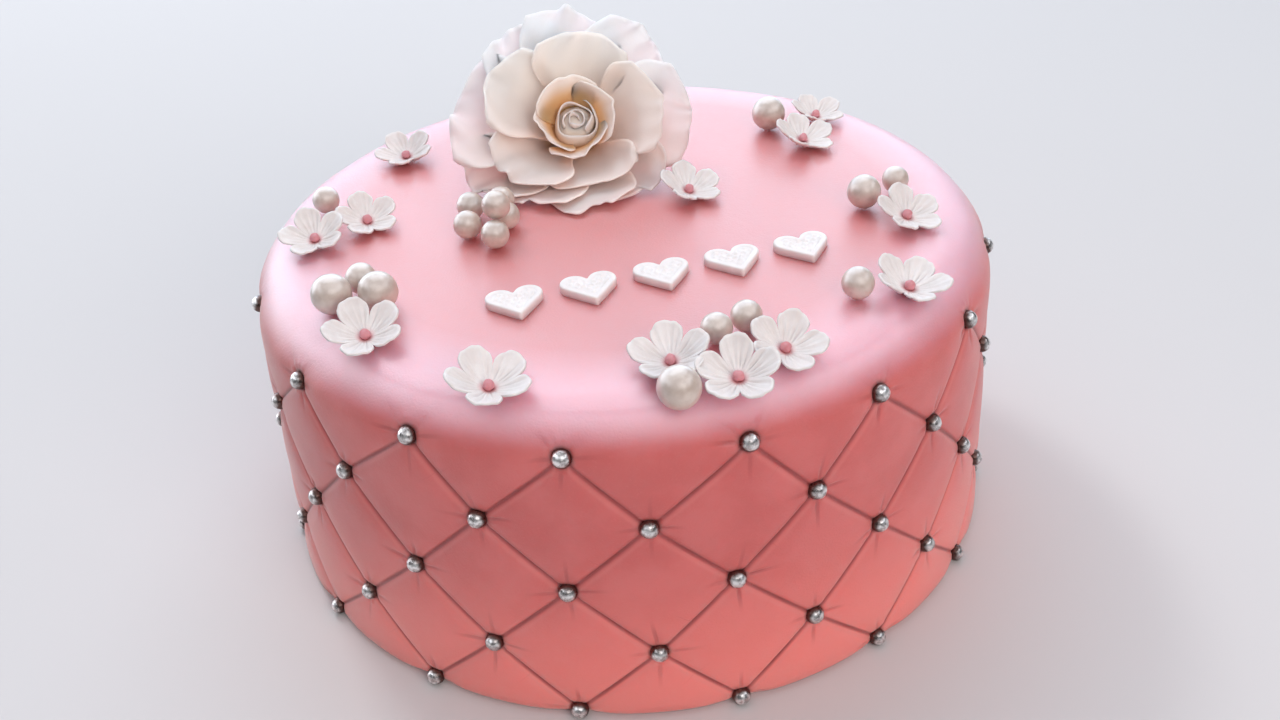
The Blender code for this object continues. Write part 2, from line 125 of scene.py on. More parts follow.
# Soft gathers round a bead: how many, how deep, how far out, how wide
GATHERS = (13, 0.05 * MM, 4.2 * MM, 1.5 * MM)

# Painted shade and dark reflection round a bead's foot. How far round from its middle a bead goes dark, as
# cosines: wholly and not at all. How much more below
BEAD_FOOT_SHADE = (0.44, 0.68)
BEAD_FOOT_SHADE_LOWER = 0.30
# Painted contact shadow in the socket that a bead sits in: how many times its radius, and how sharply it ends
SOCKET_SHADOW_REACH = 1.08
SOCKET_SHADOW_POWER = 8

# Balls rolled by hand: fineness, height of their lumps as a share of the radius, and the lumps' size
BEAD_BALL = (3, 0.035, 1.6 * MM)
PEARL_BALL = (5, 0.018, 4.5 * MM)
CENTRE_BALL = (3, 0.16, 1.1 * MM)
CONE_BALL = (4, 0.05, 3.0 * MM)

# Fineness of the paste's mesh: points along half a diamond's side, how close they are beside a pressed line,
# and how late they spread out
HALF_SIDE_STEPS = 16
NEAR_STEP = 0.34 * MM
SPREAD_POWER = 7
# Rings over the top, and how they crowd to its middle
TOP_RINGS = 12
TOP_RING_POWER = 1.3
# Slow waves of the paste: how high, how many to a metre, and the reach over which they die out
PASTE_WAVES = 0.14 * MM
WAVES_A_METRE = 42
WAVES_END = (0.07, 0.10)

# How far down from the flat top the paste keeps its pale top, part real dusting and part painted sheen of
# light, from whole to none
DUST_AND_SHEEN_REACH = (0.0130, 0.0220)
# Reach over which the paste pales toward the foot, a painted bounce of light from below
LOW_BOUNCE_REACH = (0.045, 0.100)
# The pale top is palest at the rim, a painted sheen of light on the rounded edge. Reach at which it starts to
# pale, and where it is palest
RIM_SHEEN_REACH = (-0.012, 0.012)

# Blossoms: right, behind, across, direction of the first petal, lean right, lean to the front, propped up by
BLOSSOMS = (
    (0.0092, -0.0835, 0.0188, 92, -4, 10, 0.0),
    (0.0235, -0.0923, 0.0190, 87, -2, 15, 0.0021),
    (0.0353, -0.0815, 0.0182, 71, 9, 16, 0.0),
    (-0.0627, -0.0630, 0.0190, 118, 3, 14, 0.0),
    (-0.0835, -0.0115, 0.0181, 109, -3, 16, 0.0),
    (-0.0705, -0.0026, 0.0172, 115, 10, 18, 0.0),
    (-0.0319, -0.0875, 0.0196, 120, 8, 6, 0.0),
    (0.0200, 0.0025, 0.0178, 106, 15, 14, 0.0),
    (0.0690, -0.0580, 0.0187, 132, 10, 6, 0.0),
    (0.0763, -0.0230, 0.0178, 104, 13, 16, 0.0),
    (-0.0644, 0.0411, 0.0178, 119, -5, 10, 0.0),
    (0.0570, 0.0315, 0.0182, 103, 16, 11, 0.0),
    (0.0640, 0.0500, 0.0168, 112, 12, 6, 0.0),
)
PETALS = 5
SPOKES_A_PETAL = 26
BLOSSOM_RINGS = 14
NOTCH_SHARE = 0.50
LOBE_POWER = 0.44
CUP_RISE_SHARE = 0.50
CUP_POWER = 1.4
CUP_VARIES = 0.13
# Veins across a petal from -1 to 1, their depth and how far it lessens toward the rim, and where they start
VEINS = (-0.62, -0.24, 0.18, 0.58)
VEIN_DEPTH_SHARE = 0.13
VEIN_LESSENS = 0.80
VEIN_WIDTH = 0.085
VEIN_STARTS = (0.15, 0.50)
SIDE_ROLL_SHARE = 0.10
RIM_WAVE_SHARE = 0.025
RIM_WAVES = 7
BLOSSOM_SEED = 5
BLOSSOM_THICKNESS = 0.55 * MM
CENTRE_RADIUS = 1.30 * MM
CENTRE_HEIGHT = 1.15 * MM
THROAT_SHARE = 0.20
THROAT_POWER = 4

# Hearts: a straight row, rising to the right. Lobes and sides are shares of the width, the arc in degrees
HEARTS = 5
HEART_ROW_MIDDLE = (0.0100, -0.0440)
HEART_SPACING = 0.0190
HEART_ROW_TURN = math.radians(13.5)
HEART_WIDTH = 0.0145
HEART_THICKNESS = 0.0022
HEART_LOBE_RADIUS = 0.25
HEART_LOBE_HEIGHT = 0.17
HEART_LOBE_ARC = (163, -38)
HEART_LOBE_POINTS = 22
HEART_SIDE_POINTS = 12
HEART_SIDE_POWER = 0.94
HEART_POINT = -0.48
HEART_MIDDLE = 0.03
HEART_RINGS = 34
HEART_RING_POWER = 1.25
HEART_EDGE = 0.5 * MM
HEART_BORDER = 1.5 * MM
HEART_BORDER_SLOPE = (-0.3 * MM, 0.2 * MM)
HEART_SUNK = 0.35 * MM
HEART_DOT_SPACING = 1.95 * MM
HEART_DOT_RADIUS = 0.58 * MM
HEART_DOT_RISE = 0.65 * MM
HEART_DOTS_INSET = 0.35 * MM

# Sugar rose, from its stem end
ROSE_FOOT = (-0.0116, 0.0355, 0.0940)
ROSE_LOOKS_UP = math.radians(45)
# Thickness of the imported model's petals and of these
PETAL_THICKNESS = 0.0009
PETAL_SKIN = 0.4 * MM
PETAL_ROOT = (0.0030, 0.0030)
PETAL_ROOT_BREADTH = 0.12
PETAL_WIDEST_AT = 0.62
PETAL_TIP_ROUNDING = 0.46
# Where along a petal it goes from its bend round the rose to its own, how far its sides fall short of its
# tip, and how sharply it stops at the most that it may wrap
PETAL_FLATTENS = (0.45, 0.90)
PETAL_SHOULDERS = (0.13, 2.2)
WRAP_LIMIT_POWER = 6
# Frill: waves across and along a petal, and their change from petal to petal. The finer frill's share, how
# many times closer its waves are, and its own change
FRILL_WAVES = (5.0, 3.0)
FRILL_CHANGE = 3.1
FINE_FRILL = (0.45, 2.3, 5)
# How far a petal's frill calms down at its sides, and how far its right side stands over the next one's left
FRILL_CALM = 0.35
FRILL_LAP = 0.6
PETAL_LAP = 0.0010
# A petal's rim curls back: where it starts, how it steepens, and from where along the petal its sides curl
CURL_REACH = (0.72, 1.0)
CURL_POWER = 1.5
CURL_STARTS = (0.50, 0.85)
# Petals that lie on the top, in thicknesses: a ring above the one outside it, a petal's middle above its left
# side, the lowest petal, and how clear of the top a petal keeps its own shape
RING_LAYERS = 3.5
LAP_LAYERS = 1.3
LOWEST_LAYER = 0.7
CLEAR_OF_TOP = 3
# Heights up to which the petals show painted pink light bounced off the cake wholly, and at all
PINK_BOUNCE_HEIGHTS = (0.094, 0.122)
PETAL_ACROSS_STEPS = 30
PETAL_ALONG_STEPS = 22
PETAL_ALONG_POWER = 0.9
# Petals of each ring, listed one by one: direction, length, width, lean at the tip, and how much longer on
# the left
INNER_PETALS = (
    (100, 0.0250, 0.0250, 26, 0.00),
    (195, 0.0225, 0.0230, 21, 0.00),
    (285, 0.0225, 0.0240, 30, 0.00),
    (15, 0.0245, 0.0250, 30, 0.00),
)
MIDDLE_PETALS = (
    (78, 0.0325, 0.0340, 54, 0.00),
    (150, 0.0330, 0.0340, 58, 0.00),
    (222, 0.0310, 0.0320, 58, 0.00),
    (288, 0.0290, 0.0330, 62, 0.00),
    (5, 0.0320, 0.0340, 58, 0.00),
)
OUTER_PETALS = (
    (88, 0.0380, 0.0315, 84, 0.06),
    (118, 0.0370, 0.0290, 82, 0.02),
    (167, 0.0366, 0.0420, 84, 0.03),
    (214, 0.0362, 0.0300, 86, 0.00),
    (245, 0.0362, 0.0270, 80, 0.04),
    (281, 0.0402, 0.0275, 84, -0.13),
    (309, 0.0352, 0.0310, 80, -0.08),
    (3, 0.0355, 0.0340, 84, 0.03),
    (48, 0.0372, 0.0300, 82, 0.06),
)
# Rings of petals, from the middle: name, lean at the root, roundness across, most that a petal wraps to each
# side, frill, rim curl, how far along its peach tint and painted glow fades out and how far its painted ochre
# shade does, and the petals
ROSE_RINGS = (
    ("rose_inner_petals", 12, 0.0125, 1.05, 0.0006, 0.0006, (0.65, 1.50), (0.62, 1.15), INNER_PETALS),
    ("rose_middle_petals", 32, 0.0230, 0.78, 0.0016, 0.0022, (0.75, 1.60), (0.10, 0.50), MIDDLE_PETALS),
    ("rose_outer_petals", 48, 0.0420, 0.70, 0.0030, 0.0020, (0.15, 0.75), (0.00, 0.10), OUTER_PETALS),
)
# The bud: one petal wound up loosely, and a smaller one wound up inside it. Turns, where the outer end lies,
# radius inside and outside, and length
BUD_SCROLLS = (
    (1.35, 75, 0.0052, 0.0076, 0.0204),
    (1.60, 210, 0.0011, 0.0041, 0.0212),
)
BUD_ASIDE = (0.0008, 0.0010)
SCROLL_STEPS = (110, 20)
# As shares: a scroll's radius at both ends, its flare, where its foot is, and where its warm root, painted
# ochre shade and peach tint with painted glow, fades out
SCROLL_WAIST = 0.72
SCROLL_FLARE = 0.16
SCROLL_FOOT = 0.25
SCROLL_FADES = (0.55, 1.15)
# How much lower a scroll's outer end is, its rim's waves up and down, and its waves in and out: how high or
# what share, how close, and how they change along it
SCROLL_DROP = 1.3 * MM
SCROLL_RIM_WAVE = (0.9 * MM, 2.6)
SCROLL_RIPPLE = (0.06, 3.0, 4)
# Paste cone that they are wound on: its radius, how high its middle stands, and how warm it is, its peach a
# tint with painted glow
BUD_CONE = (0.0064, 0.0128)
CONE_WARMTH = 0.50

# Camera: where it stands, how far it is turned right, down and anticlockwise, and its lens
CAMERA_PLACE = (0.0, -0.3137085, 0.2458505)
CAMERA_YAW = 0.0098
CAMERA_PITCH = 0.5846
CAMERA_ROLL = -0.0665
CAMERA_LENS = 34.50
CAMERA_SENSOR = 36
NEAREST_SEEN = 0.01


# Shader sums


class Value:
    """A shader's number, colour or vector. Python's own signs on it add a Math node each."""

    def __init__(self, finish, socket):
        self.finish = finish
        self.socket = socket

    def maths(self, operation, first, second):
        return self.finish.node("ShaderNodeMath", {"operation": operation}, {0: first, 1: second})

    def __add__(self, other):
        return self.maths("ADD", self, other)

    def __sub__(self, other):
        return self.maths("SUBTRACT", self, other)

    def __rsub__(self, other):
        return self.maths("SUBTRACT", other, self)

    def __mul__(self, other):
        return self.maths("MULTIPLY", self, other)

    def at_least(self, other):
        return self.maths("MAXIMUM", self, other)

    __radd__ = __add__
    __rmul__ = __mul__


class Finish:
    """One material. What is the same all over sits on its shader's own sockets, and nodes feed the rest."""

    def __init__(self, name, same_all_over):
        self.material = bpy.data.materials.new(name)
        self.material.use_nodes = True
        self.tree = self.material.node_tree
        self.shader = self.tree.nodes["Principled BSDF"]
        for socket, value in same_all_over.items():
            self.shader.inputs[socket].default_value = value

    def feed(self, socket, value):
        if isinstance(value, Value):
            self.tree.links.new(value.socket, socket)
        elif socket.type == "RGBA":
            socket.default_value = (*value, 1.0)
        else:
            socket.default_value = value

    def node(self, kind, settings=None, inputs=None, output=0):
        """Adds a node of this kind: its settings first, then what its sockets hold or are fed."""
        made = self.tree.nodes.new(kind)
        for name, value in (settings or {}).items():
            setattr(made, name, value)
        for name, value in (inputs or {}).items():
            self.feed(made.inputs[name], value)
        return Value(self, made.outputs[output])

    def shade(self, socket, value):
        self.feed(self.shader.inputs[socket], value)

    def noise(self, size, detail):
        """Cloudy noise from 0 to 1 with lumps of this size, in metres."""
        place = self.node("ShaderNodeTexCoord", output="Object")
        inputs = {"Vector": place, "Scale": 1 / size, "Detail": detail}
        return self.node("ShaderNodeTexNoise", {"noise_dimensions": "3D"}, inputs)

    def painted(self, name):
        """A number that the mesh holds at each of its points."""
        return self.node("ShaderNodeAttribute", {"attribute_name": name}, output="Fac")

    def mix(self, share, first, second):
        return self.node("ShaderNodeMix", {"data_type": "RGBA"}, {0: share, 6: first, 7: second}, output=2)

    def band(self, value, low, high):
        """0 below low, 1 above high, and smooth between them."""
        inputs = {"Value": value, "From Min": low, "From Max": high}
        return self.node("ShaderNodeMapRange", {"interpolation_type": "SMOOTHSTEP"}, inputs)

    def bump(self, height, depth, below=None):
        inputs = {"Strength": 1.0, "Distance": depth, "Height": height}
        if below:
            inputs["Normal"] = below
        return self.node("ShaderNodeBump", inputs=inputs)


# Finishes

PASTE_PINK = (0.60, 0.116, 0.110)
PASTE_PALER = (0.65, 0.148, 0.143)
PASTE_CREASE_SHADE = (0.36, 0.036, 0.036)
PASTE_LOW_BOUNCE = (0.92, 0.248, 0.224)
PASTE_SOCKET_SHADOW = (0.12, 0.022, 0.020)
PASTE_LIP_HIGHLIGHT = (0.78, 0.27, 0.25)
PASTE_DUST_AND_SHEEN = (0.64, 0.146, 0.154)
PASTE_RIM_SHEEN = (0.77, 0.37, 0.465)
PETAL_WHITES = (0.74, 0.69, 0.68), (0.80, 0.765, 0.76)
HEART_WHITES = (0.82, 0.77, 0.77), (0.87, 0.83, 0.835)
PETAL_THROAT = (0.50, 0.11, 0.13)
PETAL_PEACH_TINT_AND_GLOW = (0.92, 0.76, 0.66)
PETAL_PINK_BOUNCE = (0.97, 0.73, 0.66)
PETAL_OCHRE_SHADE = (0.72, 0.38, 0.17)
ROSE_WHITES = (0.93, 0.91, 0.94), (0.94, 0.95, 0.99)
PEARL_TONES = (0.53, 0.42, 0.355), (0.63, 0.52, 0.45)
CENTRE_PINKS = (0.55, 0.18, 0.21), (0.68, 0.30, 0.33)
SILVER_TONES = (0.50, 0.47, 0.46), (0.93, 0.91, 0.90)
SILVER_FOOT_SHADE = (0.13, 0.075, 0.065)
FLOOR_TONES = (0.66, 0.65, 0.66), (0.70, 0.69, 0.70)
# How much pale grain, the painted highlight below pressed lines, and the painted shade of pressed lines and
# tucks show in the paste's colour
GRAIN_SHARE = 0.50
LIP_HIGHLIGHT_SHARE = 0.28
LINE_SHADE_SHARE = 0.82
TUCK_SHADE_SHARE = 0.44


def pink_sugar_paste():
    same = {"Specular IOR Level": 0.8, "Coat IOR": 1.8, "Coat Roughness": 0.40, "Sheen Weight": 0.22}
    same |= {"Sheen Roughness": 0.35, "Subsurface Weight": 0.9}
    same |= {"Subsurface Radius": (1.0, 0.22, 0.18), "Subsurface Scale": 9.0 * MM}
    paste = Finish("pink_sugar_paste", same)
    mottle = paste.noise(14 * MM, detail=4.0)
    grain = paste.noise(0.55 * MM, detail=3.0)
    dust = paste.noise(2.6 * MM, detail=2.0)
    body = paste.mix(paste.band(mottle, 0.35, 0.65), PASTE_PINK, PASTE_PALER)
    body = paste.mix(paste.band(grain, 0.55, 0.75) * GRAIN_SHARE, body, PASTE_PALER)
    # Paler and warmer toward the foot: painted bounce light from below
    body = paste.mix(paste.painted("low"), body, PASTE_LOW_BOUNCE)
    # The pale top: part real dusting, part painted sheen of light. It also sets where the paste is glossy
    dust_and_sheen = paste.painted("dust_and_sheen")
    body = paste.mix(dust_and_sheen * (0.85 + 0.15 * mottle), body, PASTE_DUST_AND_SHEEN)
    # Painted sheen of light on the rounded rim, read from the layer named rim
    body = paste.mix(paste.painted("rim"), body, PASTE_RIM_SHEEN)
    # Painted highlight on the lower lip of each pressed line, read from the layer named edge
    body = paste.mix(paste.painted("edge") * LIP_HIGHLIGHT_SHARE, body, PASTE_LIP_HIGHLIGHT)
    # Painted shade along the pressed lines and tucks, where they sink in and less light falls
    line = paste.painted("line_left") * (1 - paste.band(paste.painted("line_away"), *LINE_SHADE_SHOWS))
    aside = paste.painted("tuck_aside")
    tuck = paste.painted("tuck_left") * (1 - paste.band(aside * aside, *(shows**2 for shows in TUCK_SHADE_SHOWS)))
    body = paste.mix((line * LINE_SHADE_SHARE).at_least(tuck * TUCK_SHADE_SHARE), body, PASTE_CREASE_SHADE)
    # Painted contact shadow round each bead, read from the layer named socket
    paste.shade("Base Color", paste.mix(paste.painted("socket"), body, PASTE_SOCKET_SHADOW))
    paste.shade("Coat Weight", 0.15 + 0.70 * dust_and_sheen)
    paste.shade("Roughness", 0.40 + 0.10 * mottle + 0.06 * dust)
    skin = paste.bump(dust, 0.05 * MM)
    skin = paste.bump(grain, 0.09 * MM, skin)
    paste.shade("Normal", paste.bump(1 - tuck, 0.10 * MM, skin))
    return paste.material


def silver_bead_finish():
    silver = Finish("silver_sugar_bead", {"Metallic": 1.0})
    patches = silver.noise(1.3 * MM, detail=3.0)
    body = silver.mix(silver.band(patches, 0.40, 0.62), *SILVER_TONES)
    # Painted shade and dark reflection on each bead round its foot, read from the layer named foot
    silver.shade("Base Color", silver.mix(silver.painted("foot"), body, SILVER_FOOT_SHADE))
    silver.shade("Roughness", 0.16 + 0.26 * patches)
    silver.shade("Normal", silver.bump(silver.noise(0.9 * MM, detail=1.0), 0.12 * MM))
    return silver.material


def white_paste(name, white, whiter):
    same = {"Sheen Weight": 0.1, "Subsurface Weight": 0.35}
    same |= {"Subsurface Radius": (1.0, 0.82, 0.74), "Subsurface Scale": 0.8 * MM}
    petal = Finish(name, same)
    cloud = petal.noise(3.5 * MM, detail=3.0)
    grain = petal.noise(0.35 * MM, detail=2.0)
    body = petal.mix(petal.band(cloud, 0.3, 0.7), white, whiter)
    petal.shade("Base Color", petal.mix(petal.painted("throat"), body, PETAL_THROAT))
    petal.shade("Roughness", 0.46 + 0.12 * cloud)
    petal.shade("Normal", petal.bump(grain, 0.03 * MM))
    return petal.material


def rose_petal_paste():
    same = {"Sheen Weight": 0.1, "Subsurface Weight": 0.9}
    same |= {"Subsurface Radius": (1.0, 0.88, 0.80), "Subsurface Scale": 3.0 * MM}
    petal = Finish("rose_petal_paste", same)
    cloud = petal.noise(6 * MM, detail=3.0)
    grain = petal.noise(0.4 * MM, detail=2.0)
    # Warm colour deep in the rose: peach low on the petals is a tint with painted glow of light through them,
    # and ochre deepest in is painted warm shade
    root = petal.painted("root")
    white = petal.mix(petal.band(cloud, 0.3, 0.7), *ROSE_WHITES)
    warm = petal.mix(petal.band(root, 0.0, 0.5), white, PETAL_PEACH_TINT_AND_GLOW)
    # Painted pink bounce light from the cake on the low petals
    warm = petal.mix(petal.painted("pink_bounce"), warm, PETAL_PINK_BOUNCE)
    petal.shade("Base Color", petal.mix(petal.band(root, 0.5, 1.0), warm, PETAL_OCHRE_SHADE))
    petal.shade("Roughness", 0.48 + 0.14 * cloud)
    petal.shade("Normal", petal.bump(grain, 0.03 * MM))
    return petal.material


def pink_centre_paste():
    centre = Finish("pink_centre_paste", {"Subsurface Weight": 0.2, "Subsurface Scale": 0.6 * MM})
    cloud = centre.noise(0.9 * MM, detail=3.0)
    centre.shade("Base Color", centre.mix(cloud, *CENTRE_PINKS))
    centre.shade("Roughness", 0.45 + 0.15 * cloud)
    centre.shade("Normal", centre.bump(cloud, 0.12 * MM))
    return centre.material


def pearl_sugar():
    same = {"Coat Roughness": 0.34, "Coat IOR": 2.6, "Specular IOR Level": 0.8}
    same |= {"Subsurface Weight": 0.3, "Subsurface Radius": (1.0, 0.9, 0.8), "Subsurface Scale": 1.0 * MM}
    pearl = Finish("pearl_sugar", same)
    cloud = pearl.noise(2.4 * MM, detail=3.0)
    grain = pearl.noise(0.30 * MM, detail=2.0)
    pearl.shade("Base Color", pearl.mix(pearl.band(cloud, 0.35, 0.65), *PEARL_TONES))
    pearl.shade("Roughness", 0.30 + 0.16 * cloud)
    pearl.shade("Coat Weight", 0.7 + 0.3 * cloud)
    pearl.shade("Normal", pearl.bump(grain, 0.02 * MM))
    return pearl.material


# Meshes


def smooth_step(low, high, value):
    share = np.clip((value - low) / (high - low), 0.0, 1.0)
    return share * share * (3 - 2 * share)


def piece_from(mesh, name, finish, node):
    """Adds a smooth piece that rides on the cake and stands for one of its nodes."""
    mesh.shade_smooth()
    mesh.materials.append(finish)
    piece = bpy.data.objects.new(name, mesh)
    bpy.context.scene.collection.objects.link(piece)
    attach(piece, "root")
    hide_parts(node)


def paint(mesh, layer, values):
    """Keeps one number for each point of a mesh, which a finish reads by the layer's name."""
    mesh.attributes.new(layer, "FLOAT", "POINT").data.foreach_set("value", values.astype(np.float32))


def mesh_from(name, points, faces, painted=None):
    """A mesh of these points and faces, its twin points made one. painted holds a number for each point."""
    mesh = bpy.data.meshes.new(name)
    mesh.from_pydata(points.tolist(), [], faces)
    for layer, values in (painted or {}).items():
        paint(mesh, layer, values)
    shape = bmesh.new()
    shape.from_mesh(mesh)
    bmesh.ops.remove_doubles(shape, verts=shape.verts, dist=1e-6)
    bmesh.ops.dissolve_degenerate(shape, edges=shape.edges, dist=1e-7)
    shape.to_mesh(mesh)
    shape.free()
    return mesh


def sheet_faces(rows, columns, closed=False):
    """Faces of a grid of points. A closed one joins its last column to its first."""
    faces = []
    for row in range(rows - 1):
        for column in range(columns if closed else columns - 1):
            beside = (column + 1) % columns
            here, below = row * columns, (row + 1) * columns
            faces.append((here + column, here + beside, below + beside, below + column))
    return faces


def joined(meshes, name):
    """One mesh out of several."""
    shape = bmesh.new()
    for mesh in meshes:
        shape.from_mesh(mesh)
        bpy.data.meshes.remove(mesh)
    made = bpy.data.meshes.new(name)
    shape.to_mesh(made)
    shape.free()
    return made


def thicken(mesh, thickness, offset):
    """Gives an open sheet its thickness."""
    thing = bpy.data.objects.new(mesh.name, mesh)
    bpy.context.scene.collection.objects.link(thing)
    skin = thing.modifiers.new("Thickness", "SOLIDIFY")
    skin.thickness = thickness
    skin.offset = offset
    bpy.context.view_layer.update()
    graph = bpy.context.evaluated_depsgraph_get()
    made = bpy.data.meshes.new_from_object(thing.evaluated_get(graph))
    bpy.data.objects.remove(thing)
    return made


def upright_to(facing):
    """Rotation that turns +Z to this direction."""
    return Vector((0, 0, 1)).rotation_difference(facing).to_matrix().to_4x4()


# The smooth cake

RIM_TURN = math.pi / 2 - LEAN
SHOULDER_HEIGHT = HEIGHT - EDGE_ROUNDING * (1 - math.cos(RIM_TURN))
FLAT_RADIUS = BASE_RADIUS - math.tan(LEAN) * SHOULDER_HEIGHT - EDGE_ROUNDING * math.sin(RIM_TURN)


def skin_points(turn, reach, lift):
    """Points on the cake's skin, reach down from the edge of its flat top, lifted off along its outward
    direction. A reach below 0 lies on the top."""
    rim = np.clip(reach / EDGE_ROUNDING, 0.0, RIM_TURN)
    down_side = np.maximum(reach - EDGE_ROUNDING * RIM_TURN, 0.0)
    rounding = EDGE_ROUNDING + EDGE_FULLNESS * np.sin(math.pi * rim / RIM_TURN) ** 2
    radius = FLAT_RADIUS + np.minimum(reach, 0.0) + rounding * np.sin(rim) + down_side * math.sin(LEAN)
    height = HEIGHT - EDGE_ROUNDING + rounding * np.cos(rim) - down_side * math.cos(LEAN)
    radius = radius + lift * np.sin(rim)
    return np.stack([radius * np.sin(turn), -radius * np.cos(turn), height + lift * np.cos(rim)], axis=-1)


def top_height(radius):
    """Height of the top, or of its rounded edge, this far from the middle."""
    edge = skin_points(0.0, np.linspace(0.0, EDGE_ROUNDING * RIM_TURN, EDGE_SAMPLES), 0.0)
    return np.interp(radius, -edge[:, 1], edge[:, 2])


# The quilted paste


def bead_spots():
    """Turn and reach of each crossing of the quilting, keyed by row and column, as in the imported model."""
    wander = random.Random(WANDER_SEED)
    spots = {}
    for row in range(-2, BEAD_ROWS + 1):
        for column in range(COLUMNS):
            signed = column - COLUMNS if column > COLUMNS // 2 else column
            drift = TOP_ROW_DRIFT.get(signed, 0.0) if row == 0 else 0.0
            drift += wander.uniform(-BEAD_WANDER, BEAD_WANDER)
            down = wander.uniform(-BEAD_WANDER, BEAD_WANDER) if row < BEAD_ROWS - 1 else 0.0
            step = column + 0.5 * (row % 2)
            turn = FIRST_COLUMN_TURN + step * 2 * math.pi / COLUMNS + drift / BASE_RADIUS
            spots[row, column] = (turn, TOP_ROW_REACH + row * ROW_STEP + down)
    return spots


def crossing(a, b):
    """Row, column and whole turns past the seam of the crossing where diagonals a and b meet."""
    row = a - b
    column = (a + b - row % 2) // 2
    return row, column % COLUMNS, column // COLUMNS


def tucks_round_beads():
    """Directions, lengths and depths of the short tucks at each crossing."""
    by_hand = random.Random(TUCK_SEED)
    tucks = {}
    for row in range(-2, BEAD_ROWS + 1):
        for column in range(COLUMNS):
            for quarter in (RIGHT, DOWN, LEFT, UP):
                direction = math.radians(90 * quarter + by_hand.uniform(-TUCK_OFF_TRUE, TUCK_OFF_TRUE))
                length, depth = by_hand.uniform(*TUCK_LENGTH), by_hand.uniform(*TUCK_DEPTH)
                if row == 0 and quarter == UP:
                    depth = 0.0
                tucks[row, column, quarter] = (direction, length, depth)
    return tucks


def pressed_line(away, share_along):
    """Depth and strength of a pressed line this far to its side and this share of the way along it."""
    strength = LINE_LEFT_AT_BEADS + (1 - LINE_LEFT_AT_BEADS) * np.sin(math.pi * share_along)
    floor = LINE_FLOOR[0] * np.exp(-((away / LINE_FLOOR[1]) ** 2))
    shoulder = LINE_SHOULDER[0] * np.exp(-((away / LINE_SHOULDER[1]) ** 2))
    return (floor + shoulder) * strength, strength


def bead_dent(right, down, tuck, swing):
    """Depth pressed in round one bead at points beside it, and its tuck there: how far to the side of it, and
    how much of it is left."""
    away = np.hypot(right, down)
    lip_height, lip_at, lip_width = LIP
    dent = DIMPLE[0] * np.exp(-((away / DIMPLE[1]) ** 2))
    dent = dent - lip_height * np.exp(-(((away - lip_at) / lip_width) ** 2))
    folds, gather_depth, gather_at, gather_width = GATHERS
    ring = np.exp(-(((away - gather_at) / gather_width) ** 2))
    direction, length, depth = tuck
    dent = dent + gather_depth * ring * np.cos(folds * (np.arctan2(down, right) - swing))
    along = right * math.cos(direction) + down * math.sin(direction)
    aside = -right * math.sin(direction) + down * math.cos(direction)
    width = (TUCK_WIDTH + TUCK_WIDENING * np.maximum(along, 0.0)) * np.where(aside > 0, TUCK_SOFT_SIDE, 1.0)
    left = smooth_step(*TUCK_START, along) * (1 - smooth_step(*TUCK_FADES, along / length))
    dent = dent + depth * left * (1 - np.minimum((aside / width) ** 2, 1.0)) ** 3
    return dent, aside, left * depth / TUCK_DEPTH[1]


def side_shares():
    """Shares of a diamond's side at which it is sampled: close together at the pressed lines."""
    steps = np.arange(HALF_SIDE_STEPS + 1)
    near = NEAR_STEP / DIAMOND_SIDE
    half = near * steps + (0.5 - near * HALF_SIDE_STEPS) * (steps / HALF_SIDE_STEPS) ** SPREAD_POWER
    return np.concatenate([half, 1 - half[-2::-1]])


def diamond_faces(points, half):
    """Faces of one diamond with this many points a side: all, or its lower or upper half for 1 and -1."""
    faces = []
    for i in range(points - 1):
        for j in range(points - 1):
            here, below = i * points + j, (i + 1) * points + j
            if i == j and half:
                faces.append((here, below, below + 1) if half > 0 else (here, below + 1, here + 1))
            elif half * (i - j) >= 0:
                faces.append((here, below, below + 1, here + 1))
    return faces


